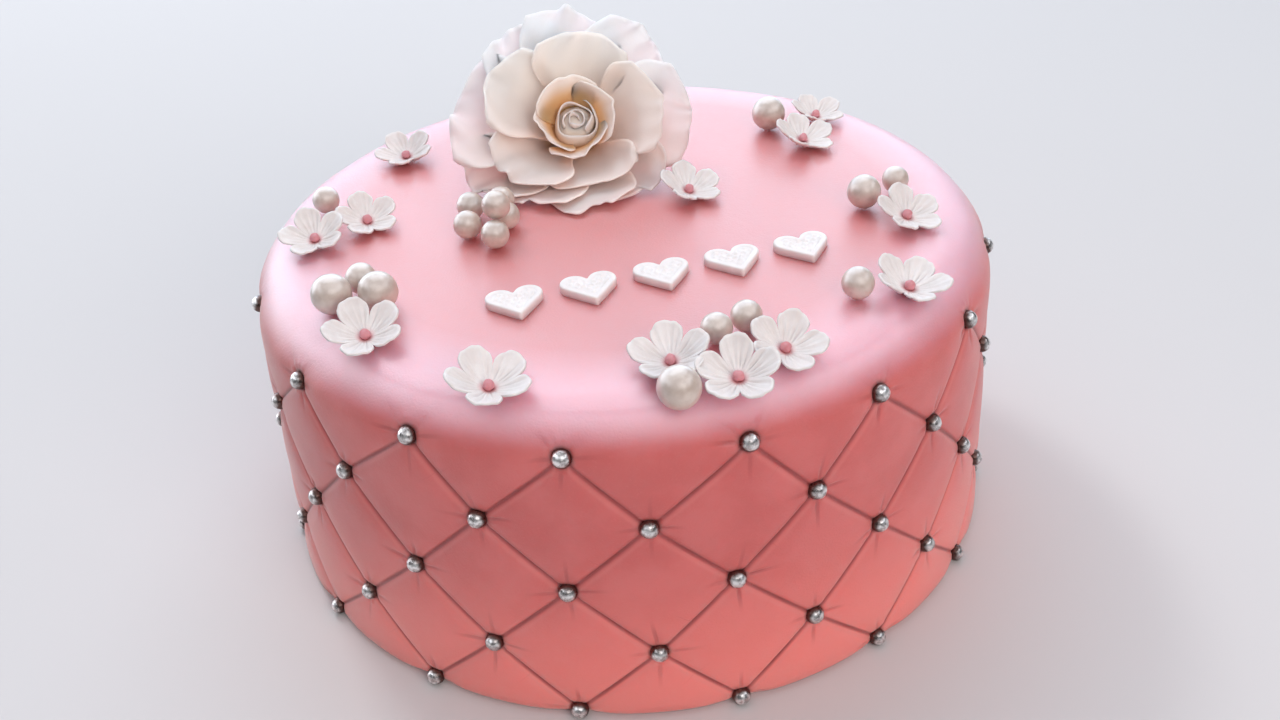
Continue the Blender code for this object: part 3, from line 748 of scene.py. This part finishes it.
def quilted_diamond(spots, tucks, first_a, first_b, shares):
    """Turn, reach and lift of the points of one diamond of the paste, and what its finish reads at each."""
    share_a, share_b = np.meshgrid(shares, shares, indexing="ij")
    row = first_a + share_a - first_b - share_b
    corners = {}
    for on_a in (0, 1):
        for on_b in (0, 1):
            at_row, column, turns = crossing(first_a + on_a, first_b + on_b)
            turn, reach = spots[at_row, column]
            corners[on_a, on_b] = (turn + turns * 2 * math.pi, reach, at_row, column)
    turn = np.zeros_like(row)
    reach = np.zeros_like(row)
    for (on_a, on_b), (bead_turn, bead_reach, _, _) in corners.items():
        weight = (share_a if on_a else 1 - share_a) * (share_b if on_b else 1 - share_b)
        turn += weight * bead_turn
        reach += weight * bead_reach
    from_a = np.minimum(share_a, 1 - share_a)
    from_b = np.minimum(share_b, 1 - share_b)
    crown = (1 - (1 - 2 * from_a) ** PUFF_POWER) * (1 - (1 - 2 * from_b) ** PUFF_POWER)
    line_a, strength_a = pressed_line(from_a * DIAMOND_SIDE, share_b)
    line_b, strength_b = pressed_line(from_b * DIAMOND_SIDE, share_a)
    line_fade = smooth_step(-LINE_FADE_ROWS, 0.0, row)
    lift = PUFF * crown * smooth_step(-PUFF_FADE_ROWS, 0.0, row) - np.maximum(line_a, line_b) * line_fade
    away = np.minimum(from_a, from_b) * DIAMOND_SIDE
    strength = np.where(from_a < from_b, strength_a, strength_b) * line_fade
    below = np.where(from_a < from_b, share_a < 0.5, share_b > 0.5)
    # Painted highlight just below a pressed line
    edge = below * strength * np.exp(-(((away - LINE_LIP_HIGHLIGHT[0]) / LINE_LIP_HIGHLIGHT[1]) ** 2))
    painted = {"line_away": away / MM, "line_left": strength, "edge": edge}
    painted |= {name: np.zeros_like(row) for name in ("tuck_aside", "tuck_left", "socket")}
    for (on_a, on_b), (bead_turn, bead_reach, at_row, column) in corners.items():
        if not 0 <= at_row < BEAD_ROWS:
            continue
        nearest = ((share_a >= 0.5) == bool(on_a)) & ((share_b >= 0.5) == bool(on_b))
        right = (turn - bead_turn) * BASE_RADIUS
        down = reach - bead_reach
        quarter = {(0, 0): RIGHT, (0, 1): DOWN, (1, 1): LEFT, (1, 0): UP}[on_a, on_b]
        swing = tucks[at_row, column, RIGHT][0]
        dent, aside, left = bead_dent(right, down, tucks[at_row, column, quarter], swing)
        lift = lift - dent * nearest
        painted["tuck_aside"] += aside / MM * nearest
        painted["tuck_left"] += left * nearest
        # Painted contact shadow in the socket round the bead
        away = np.hypot(right, down) / (BEAD_RADIUS * SOCKET_SHADOW_REACH)
        painted["socket"] += nearest * np.exp(-(away**SOCKET_SHADOW_POWER))
    return {"turn": turn, "reach": reach, "lift": lift} | painted


def dust_and_sheen_at(reach):
    """How much of the pale top there is this far from the top's edge, part real dusting and part painted
    sheen, and of its palest band, a painted sheen on the rim.
    """
    dust_and_sheen = 1 - smooth_step(*DUST_AND_SHEEN_REACH, reach)
    return {"dust_and_sheen": dust_and_sheen, "rim": dust_and_sheen * smooth_step(*RIM_SHEEN_REACH, reach)}


def paste_wave(point):
    """Slow unevenness of paste that was smoothed by hand."""
    return noise.fractal(Vector(point) * WAVES_A_METRE, 1.0, 2.0, 2) * PASTE_WAVES


def paste_mesh(spots):
    shares = side_shares()
    count = len(shares)
    tucks = tucks_round_beads()
    diamonds, faces = [], []
    for row in range(-1, BEAD_ROWS):
        half = {-1: 1, BEAD_ROWS - 1: -1}.get(row, 0)
        pattern = diamond_faces(count, half)
        for column in range(COLUMNS):
            base = len(diamonds) * count**2
            first_a, first_b = column + row // 2, column - (row + 1) // 2
            diamonds.append(quilted_diamond(spots, tucks, first_a, first_b, shares))
            faces += [tuple(base + corner for corner in face) for face in pattern]
    painted = {name: np.concatenate([made[name].ravel() for made in diamonds]) for name in diamonds[0]}
    turn, reach, lift = (painted.pop(name) for name in ("turn", "reach", "lift"))
    waves = np.array([paste_wave(point) for point in skin_points(turn, reach, 0.0)])
    lift = lift + waves * (1 - smooth_step(*WAVES_END, reach))
    # Pale top with its dusting and painted sheen, and painted bounce light toward the foot
    painted |= dust_and_sheen_at(reach) | {"low": smooth_step(*LOW_BOUNCE_REACH, reach)}
    return mesh_from("cake_paste", skin_points(turn, reach, lift), faces, painted)


def close_top_and_foot(mesh):
    """Carries the paste in over the top, ring by ring, and under the foot."""
    shape = bmesh.new()
    shape.from_mesh(mesh)
    loose = [corner for corner in shape.verts if not corner.link_faces]
    bmesh.ops.delete(shape, geom=loose, context="VERTS")
    boundary = [edge for edge in shape.edges if edge.is_boundary]
    top = [edge for edge in boundary if edge.verts[0].co.z > HEIGHT / 2]
    foot = [edge for edge in boundary if edge.verts[0].co.z < HEIGHT / 2]
    for ring in range(1, TOP_RINGS + 1):
        top, corners = next_ring(shape, top)
        radius = FLAT_RADIUS * (1 - ring / (TOP_RINGS + 1)) ** TOP_RING_POWER
        for corner in corners:
            flat = corner.co.xy.normalized() * radius
            corner.co = (*flat, HEIGHT + paste_wave((*flat, HEIGHT)))
            paint_corner(shape, corner, dust_and_sheen_at(radius - FLAT_RADIUS))
    foot, corners = next_ring(shape, foot)
    for corner in corners:
        flat = corner.co.xy * (1 - FOOT_TUCK / corner.co.xy.length)
        corner.co = (*flat, 0.0)
        paint_corner(shape, corner, {})
    bmesh.ops.contextual_create(shape, geom=top)
    bmesh.ops.contextual_create(shape, geom=foot)
    bmesh.ops.recalc_face_normals(shape, faces=shape.faces)
    shape.to_mesh(mesh)
    shape.free()
    return mesh


def paint_corner(shape, corner, values):
    """Sets what the finish reads at one corner: these numbers, and nought for the rest."""
    for layer in shape.verts.layers.float.values():
        corner[layer] = values.get(layer.name, 0.0)


def next_ring(shape, ring):
    """Grows a boundary outward by one ring. Gives the new boundary and its corners."""
    grown = bmesh.ops.extrude_edge_only(shape, edges=ring)["geom"]
    corners = [part for part in grown if isinstance(part, bmesh.types.BMVert)]
    edges = [part for part in grown if isinstance(part, bmesh.types.BMEdge) and part.is_boundary]
    return edges, corners


def add_paste(spots):
    mesh = close_top_and_foot(paste_mesh(spots))
    piece_from(mesh, "cake_paste", pink_sugar_paste(), "quilted_cake")


def add_silver_beads(spots):
    meshes = []
    for (row, column), (turn, reach) in spots.items():
        if not 0 <= row < BEAD_ROWS:
            continue
        middle = Vector(skin_points(turn, reach, 0.0).tolist())
        bead = lumpy_ball(middle, BEAD_RADIUS, *BEAD_BALL)
        outward = skin_points(turn, reach, 1.0) - skin_points(turn, reach, 0.0)
        turned = np.array([(corner.co - middle).normalized() for corner in bead.vertices])
        # Painted shade and dark reflection where the bead meets the paste, more on its underside
        facing = turned @ outward + BEAD_FOOT_SHADE_LOWER * np.minimum(turned[:, 2], 0.0)
        paint(bead, "foot", 1 - smooth_step(*BEAD_FOOT_SHADE, facing))
        meshes.append(bead)
    mesh = joined(meshes, "silver_beads")
    piece_from(mesh, "silver_beads", silver_bead_finish(), "quilted_cake")


def lumpy_ball(middle, radius, subdivisions, lump_share, lump_size):
    """A ball with lumps of this size pushed in and out of it by this share of its radius."""
    shape = bmesh.new()
    bmesh.ops.create_icosphere(shape, subdivisions=subdivisions, radius=radius)
    for corner in shape.verts:
        push = noise.noise((middle + corner.co) / lump_size)
        corner.co = middle + corner.co * (1 + lump_share * push)
    mesh = bpy.data.meshes.new("ball")
    shape.to_mesh(mesh)
    shape.free()
    return mesh


# Pearls


def add_pearls(frame):
    finish = pearl_sugar()
    for node in sorted(frame["nodes"]):
        if not node.startswith("pearl_"):
            continue
        low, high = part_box(node)
        radius = (high.z - low.z) / 2
        mesh = lumpy_ball((low + high) / 2, radius, *PEARL_BALL)
        piece_from(mesh, f"{node}_sugar", finish, node)


# Blossoms


def blossom_sheet(by_hand):
    """A cupped five-petal blossom one unit in radius, its first petal along +X."""
    steps = np.arange(PETALS * SPOKES_A_PETAL)
    petal = steps // SPOKES_A_PETAL
    phase = (1 - np.cos(math.pi * (steps % SPOKES_A_PETAL) / SPOKES_A_PETAL)) / 2
    angle = (petal - 0.5 + phase) * 2 * math.pi / PETALS
    raised = np.array([1 + by_hand.uniform(-CUP_VARIES, CUP_VARIES) for _ in range(PETALS)])
    swing = np.array([by_hand.uniform(0, 2 * math.pi) for _ in range(PETALS)])
    lobe = NOTCH_SHARE + (1 - NOTCH_SHARE) * np.sin(math.pi * phase) ** LOBE_POWER
    aside = 2 * phase - 1
    in_petal = np.sqrt(np.sin(math.pi * phase))
    share = np.linspace(0, 1, BLOSSOM_RINGS + 1)[1:, None]
    reach = share * lobe
    rise = CUP_RISE_SHARE * reach**CUP_POWER * (1 + (raised[petal] - 1) * in_petal)
    rise = rise + SIDE_ROLL_SHARE * np.abs(aside) ** 3 * share**2 * in_petal
    for vein in VEINS:
        pressed = np.exp(-(((aside - vein) / VEIN_WIDTH) ** 2)) * smooth_step(*VEIN_STARTS, share)
        rise = rise - VEIN_DEPTH_SHARE * pressed * (1 - VEIN_LESSENS * share)
    rise = rise + RIM_WAVE_SHARE * share**4 * np.sin(aside * RIM_WAVES + swing[petal]) * in_petal
    points = np.stack([reach * np.cos(angle), reach * np.sin(angle), rise], axis=-1).reshape(-1, 3)
    points = np.concatenate([points, [[0.0, 0.0, 0.0]]])
    faces = sheet_faces(BLOSSOM_RINGS, len(steps), closed=True)
    hub = len(points) - 1
    faces += [(i, hub, (i + 1) % len(steps))[::-1] for i in range(len(steps))]
    throat = np.exp(-((np.hypot(points[:, 0], points[:, 1]) / THROAT_SHARE) ** THROAT_POWER))
    return points, faces, {"throat": throat}


def add_blossoms():
    petals, centres = white_paste("white_petal_paste", *PETAL_WHITES), pink_centre_paste()
    by_hand = random.Random(BLOSSOM_SEED)
    for count, values in enumerate(BLOSSOMS, 1):
        right, behind, across, first_petal, lean_right, lean_front, propped = values
        points, faces, painted = blossom_sheet(by_hand)
        mesh = thicken(mesh_from("blossom", points * across / 2, faces, painted), BLOSSOM_THICKNESS, 1.0)
        spin = Matrix.Rotation(math.radians(first_petal), 4, "Z")
        lean = Vector((math.sin(math.radians(lean_right)), -math.sin(math.radians(lean_front)), 1.0))
        pose = Matrix.Translation((right, behind, 0.0)) @ upright_to(lean.normalized()) @ spin
        mesh.transform(pose)
        corners = np.array([corner.co for corner in mesh.vertices])
        rise = (top_height(np.hypot(corners[:, 0], corners[:, 1])) - corners[:, 2]).max()
        seat = Matrix.Translation((0.0, 0.0, rise + GAP / 2 + propped))
        mesh.transform(seat)
        node = f"blossom_{count:02d}"
        piece_from(mesh, f"{node}_petals", petals, node)
        middle = seat @ pose @ Vector((0, 0, CENTRE_HEIGHT))
        ball = lumpy_ball(middle, CENTRE_RADIUS, *CENTRE_BALL)
        piece_from(ball, f"{node}_centre", centres, node)


# Hearts


def heart_outline():
    """A heart one unit wide: two round lobes and two sides drawn down to a point."""
    arc = np.radians(np.linspace(*HEART_LOBE_ARC, HEART_LOBE_POINTS))
    right = HEART_LOBE_RADIUS * (1 + np.cos(arc))
    up = HEART_LOBE_HEIGHT + HEART_LOBE_RADIUS * np.sin(arc)
    share = np.linspace(0, 1, HEART_SIDE_POINTS)[1:]
    right_side = right[-1] * (1 - share) ** HEART_SIDE_POWER
    up_side = up[-1] + (HEART_POINT - up[-1]) * share
    half = np.stack([np.concatenate([right, right_side]), np.concatenate([up, up_side])], axis=-1)
    mirrored = half[-2:0:-1] * (-1, 1)
    return np.concatenate([half[:1] * (0, 1), half[1:], mirrored])


def depth_inside(points, outline):
    """How far inside a closed outline each point lies."""
    start = outline[None]
    along = np.roll(outline, -1, axis=0)[None] - start
    towards = points[:, None] - start
    share = np.clip((towards * along).sum(-1) / (along**2).sum(-1), 0, 1)
    return np.linalg.norm(towards - along * share[..., None], axis=-1).min(axis=1)


def heart_mesh():
    """A heart with rounded edges, a raised border and a sunk middle full of small dots."""
    outline = heart_outline() * HEART_WIDTH
    heart_middle = np.array([0.0, HEART_MIDDLE * HEART_WIDTH])
    scales = 1 - np.linspace(0, 1, HEART_RINGS)[:-1] ** HEART_RING_POWER
    flat = [heart_middle + (outline - heart_middle) * scale for scale in scales]
    flat = np.concatenate(flat + [heart_middle[None]])
    depth = depth_inside(flat, outline)
    under_edge = HEART_EDGE - np.minimum(depth, HEART_EDGE)
    rise = HEART_THICKNESS - HEART_EDGE + np.sqrt(HEART_EDGE**2 - under_edge**2)
    inside = smooth_step(*HEART_BORDER_SLOPE, depth - HEART_BORDER)
    row_spacing = HEART_DOT_SPACING * math.sqrt(3) / 2
    row = flat[:, 1] / row_spacing
    nearest_row = np.round(row)
    column = flat[:, 0] / HEART_DOT_SPACING - 0.5 * (nearest_row % 2)
    aside = (column - np.round(column)) * HEART_DOT_SPACING
    off_row = (row - nearest_row) * row_spacing
    dot = np.exp(-((np.hypot(aside, off_row) / HEART_DOT_RADIUS) ** 2))
    dot = dot * (depth > HEART_BORDER + HEART_DOTS_INSET)
    rise = rise - inside * HEART_SUNK + dot * HEART_DOT_RISE
    top = np.column_stack([flat, rise])
    foot = np.column_stack([outline, np.zeros(len(outline))])
    points = np.concatenate([foot, top])
    count = len(outline)
    faces = sheet_faces(len(scales) + 1, count, closed=True)
    hub = len(points) - 1
    last = hub - count
    faces += [(last + i, last + (i + 1) % count, hub) for i in range(count)]
    faces.append(tuple(range(count))[::-1])
    return mesh_from("heart", points, faces)


def add_hearts():
    finish = white_paste("white_heart_paste", *HEART_WHITES)
    row = Matrix.Rotation(HEART_ROW_TURN, 4, "Z")
    for count in range(HEARTS):
        mesh = heart_mesh()
        along = (count - (HEARTS - 1) / 2) * HEART_SPACING
        middle = Matrix.Translation((*HEART_ROW_MIDDLE, HEIGHT + GAP / 2))
        mesh.transform(middle @ row @ Matrix.Translation((along, 0, 0)))
        piece_from(mesh, f"heart_{count + 1}_embossed", finish, f"heart_{count + 1}")


# Sugar rose


def petal_points(across, rise, ring, petal):
    """Points of a rose petal in the rose's own frame, which looks along +Z from its stem end."""
    _, root_lean, roundness, most_wrap, frill, curl, _, _, _ = ring
    facing, length, width, tip_lean, skew = petal
    direction = math.radians(facing)
    shoulder_drop, shoulder_power = PETAL_SHOULDERS
    shaped = rise * (1 - shoulder_drop * np.abs(across) ** shoulder_power)
    along = shaped + skew * across * rise**2
    first, last = math.radians(root_lean), math.radians(tip_lean)
    lean = first + (last - first) * along
    out = PETAL_ROOT[0] + length * (math.cos(first) - np.cos(lean)) / (last - first)
    up = PETAL_ROOT[1] + length * (np.sin(lean) - math.sin(first)) / (last - first)
    breadth = np.sin(math.pi / 2 * np.minimum(shaped / PETAL_WIDEST_AT, 1.0))
    breadth = PETAL_ROOT_BREADTH + (1 - PETAL_ROOT_BREADTH) * breadth
    past_widest = np.maximum(shaped - PETAL_WIDEST_AT, 0.0) / PETAL_TIP_ROUNDING
    breadth = breadth * np.sqrt(np.maximum(1 - past_widest**2, 0.0))
    bend = out + (np.maximum(roundness, out) - out) * smooth_step(*PETAL_FLATTENS, along)
    half_wrap = breadth * width / 2 / bend
    wrap = across * half_wrap / (1 + (half_wrap / most_wrap) ** WRAP_LIMIT_POWER) ** (1 / WRAP_LIMIT_POWER)
    edge = np.maximum(np.abs(across) ** 3, along**4) * along
    waves = across * FRILL_WAVES[0] + along * FRILL_WAVES[1] + direction * FRILL_CHANGE
    fine_share, fine_times, fine_change = FINE_FRILL
    ripple = np.sin(waves) + fine_share * np.sin(fine_times * waves + fine_change * direction)
    at_side = np.abs(across) ** CURL_POWER * smooth_step(*CURL_STARTS, along)
    rim = smooth_step(*CURL_REACH, np.maximum(at_side, along))
    frilled = frill * edge * (ripple * (1 - FRILL_CALM * np.abs(across)) + FRILL_LAP * across)
    inward = bend * (1 - np.cos(wrap)) + frilled + PETAL_LAP * across - curl * rim**CURL_POWER
    flat_out = out - np.cos(lean) * inward
    flat_side = bend * np.sin(wrap)
    up = up + np.sin(lean) * inward
    turned, side = math.cos(direction), math.sin(direction)
    return np.stack([flat_out * turned - flat_side * side, flat_out * side + flat_side * turned, up], axis=-1)


def rose_frame():
    """Where the rose's stem end is, and where it looks."""
    look = Vector((0, -math.cos(ROSE_LOOKS_UP), math.sin(ROSE_LOOKS_UP)))
    return Matrix.Translation(ROSE_FOOT) @ upright_to(look)


def in_frame(points, frame):
    """Points of the rose's own frame in the cake's."""
    turned = np.array(frame.to_3x3())
    return points @ turned.T + np.array(frame.translation)


def rest_on_top(points, layer):
    """Petals that would dip into the cake lie along its top instead, one over the next."""
    floor = HEIGHT + GAP + PETAL_THICKNESS * (LOWEST_LAYER + layer)
    depth = (points[..., 2] - floor) / PETAL_THICKNESS
    resting = floor + PETAL_THICKNESS * np.log1p(np.exp(np.minimum(depth, CLEAR_OF_TOP)))
    points[..., 2] = np.where(depth < CLEAR_OF_TOP, resting, points[..., 2])
    return points


def rose_petal(ring, petal, rings_outside, frame):
    side = np.linspace(-1, 1, PETAL_ACROSS_STEPS + 1)
    rise = np.linspace(0, 1, PETAL_ALONG_STEPS + 1) ** PETAL_ALONG_POWER
    across, rise = np.meshgrid(side, rise)
    points = in_frame(petal_points(across, rise, ring, petal), frame)
    points = rest_on_top(points, RING_LAYERS * rings_outside + LAP_LAYERS * (1 + across))
    *_, beige_fades, ochre_shade_fades, _ = ring
    root = 1 - (smooth_step(*beige_fades, rise) + smooth_step(*ochre_shade_fades, rise)) / 2
    faces = sheet_faces(*across.shape)
    pink_bounce = 1 - smooth_step(*PINK_BOUNCE_HEIGHTS, points[..., 2])
    painted = {"root": root.ravel(), "pink_bounce": pink_bounce.ravel()}
    mesh = mesh_from("petal", points.reshape(-1, 3), faces, painted)
    return thicken(mesh, PETAL_SKIN, 0.0)


def bud_scroll(turns, outer_end, inside, outside, length, frame):
    """A petal wound up into a loose roll, its rim softly waved."""
    wound, up = np.meshgrid(*(np.linspace(0, 1, steps) for steps in SCROLL_STEPS))
    turn = math.radians(outer_end) - (1 - wound) * turns * 2 * math.pi
    radius = (inside + (outside - inside) * wound) * (1 + SCROLL_FLARE * up**3)
    radius = radius * (SCROLL_WAIST + (1 - SCROLL_WAIST) * np.sin(math.pi * up))
    ripple, ripples, ripple_change = SCROLL_RIPPLE
    radius = radius * (1 + ripple * np.sin(ripples * turn + ripple_change * wound) * up**2)
    rim_wave, rim_waves = SCROLL_RIM_WAVE
    height = length * (SCROLL_FOOT + (1 - SCROLL_FOOT) * up) - SCROLL_DROP * wound * up
    height = height + rim_wave * np.sin(rim_waves * turn) * up**3
    right, behind = BUD_ASIDE
    points = np.stack([radius * np.cos(turn) + right, radius * np.sin(turn) + behind, height], axis=-1)
    points = in_frame(points, frame)
    root = 1 - smooth_step(*SCROLL_FADES, up)
    mesh = mesh_from("scroll", points.reshape(-1, 3), sheet_faces(*turn.shape), {"root": root.ravel()})
    return thicken(mesh, PETAL_SKIN, 0.0)


def bud_cone(frame):
    """The lump of paste that the bud is wound on."""
    radius, rise = BUD_CONE
    cone = lumpy_ball(frame @ Vector((*BUD_ASIDE, rise)), radius, *CONE_BALL)
    # Peach tint with painted warm glow on the cone deep in the bud
    paint(cone, "root", np.full(len(cone.vertices), CONE_WARMTH))
    return cone


def add_rose():
    frame = rose_frame()
    finish = rose_petal_paste()
    for inner_rings, ring in enumerate(ROSE_RINGS):
        rings_outside = len(ROSE_RINGS) - 1 - inner_rings
        petals = [rose_petal(ring, petal, rings_outside, frame) for petal in ring[-1]]
        piece_from(joined(petals, ring[0]), ring[0], finish, "sugar_rose")
    bud = [bud_scroll(*scroll, frame) for scroll in BUD_SCROLLS] + [bud_cone(frame)]
    piece_from(joined(bud, "rose_bud"), "rose_bud", finish, "sugar_rose")


# Studio

FLOOR_SIDE = 6.0
WORLD_TONE = (0.93, 0.95, 1.0)
WORLD_STRENGTH = 0.17
# Soft lights: name, where, aimed at, width, height, watts, colour, and whether they show in the matt light
# and in the gloss of what they fall on
LIGHTS = (
    ("back_light", (-0.15, 1.30, 1.35), (0.0, 0.0, 0.08), 2.4, 2.0, 27, (0.78, 0.88, 1.0), True, True),
    ("top_light", (0.0, -0.35, 1.50), (0.0, -0.35, 0.0), 3.2, 3.0, 14, (0.96, 0.96, 1.0), True, True),
    ("top_sheen", (0.0, -0.25, 1.50), (0.0, -0.25, 0.0), 4.5, 2.5, 96, (0.88, 0.93, 1.0), False, True),
    ("left_sheen", (-1.35, 0.75, 0.45), (-0.08, -0.04, 0.08), 1.3, 0.9, 11, (0.88, 0.92, 1.0), False, True),
    ("back_sheen", (0.0, 1.60, 0.50), (0.0, 0.0, 0.09), 3.0, 0.5, 14, (0.66, 0.82, 1.0), False, True),
    ("key", (-0.60, 0.95, 1.35), (0.0, 0.0, 0.08), 0.28, 0.28, 6, (1.0, 0.985, 0.96), True, False),
    ("front_fill", (0.40, -1.35, 1.25), (0.0, 0.0, 0.05), 1.2, 0.9, 4.5, (1.0, 0.96, 0.94), True, True),
    ("low_fill", (0.95, -1.55, 0.80), (0.0, 0.0, 0.03), 1.3, 0.8, 15, (1.0, 0.90, 0.83), True, False),
)


def add_lights():
    world = bpy.data.worlds.new("soft_room")
    bpy.context.scene.world = world
    world.use_nodes = True
    background = world.node_tree.nodes["Background"]
    background.inputs["Color"].default_value = (*WORLD_TONE, 1.0)
    background.inputs["Strength"].default_value = WORLD_STRENGTH
    for name, place, target, width, height, watts, colour, in_matt, in_gloss in LIGHTS:
        light = bpy.data.lights.new(name, "AREA")
        light.shape = "RECTANGLE"
        light.size = width
        light.size_y = height
        light.energy = watts
        light.color = colour
        thing = bpy.data.objects.new(name, light)
        bpy.context.scene.collection.objects.link(thing)
        thing.visible_camera = False
        thing.visible_diffuse = in_matt
        thing.visible_glossy = in_gloss
        thing.location = place
        looking = Vector(target) - Vector(place)
        thing.rotation_euler = looking.to_track_quat("-Z", "Y").to_euler()


def add_floor():
    paper = Finish("pale_floor", {"Roughness": 0.9, "Specular IOR Level": 0.1})
    cloud = paper.noise(0.6, detail=2.0)
    paper.shade("Base Color", paper.mix(cloud, *FLOOR_TONES))
    corners = np.array([(-1, -1, 0), (1, -1, 0), (1, 1, 0), (-1, 1, 0)]) * FLOOR_SIDE / 2
    mesh = mesh_from("floor", corners, [(0, 1, 2, 3)])
    mesh.materials.append(paper.material)
    floor = bpy.data.objects.new("floor", mesh)
    bpy.context.scene.collection.objects.link(floor)


def add_camera():
    lens = bpy.data.cameras.new("camera")
    lens.lens = CAMERA_LENS
    lens.sensor_width = CAMERA_SENSOR
    lens.clip_start = NEAREST_SEEN
    camera = bpy.data.objects.new("camera", lens)
    yaw = Matrix.Rotation(-CAMERA_YAW, 4, "Z")
    pitch = Matrix.Rotation(math.pi / 2 - CAMERA_PITCH, 4, "X")
    roll = Matrix.Rotation(CAMERA_ROLL, 4, "Z")
    camera.matrix_world = Matrix.Translation(CAMERA_PLACE) @ yaw @ pitch @ roll
    bpy.context.scene.collection.objects.link(camera)
    bpy.context.scene.camera = camera


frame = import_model()
bpy.context.scene.view_settings.view_transform = "Standard"
add_camera()
add_lights()
add_floor()
spots = bead_spots()
add_paste(spots)
add_silver_beads(spots)
add_pearls(frame)
add_blossoms()
add_hearts()
add_rose()
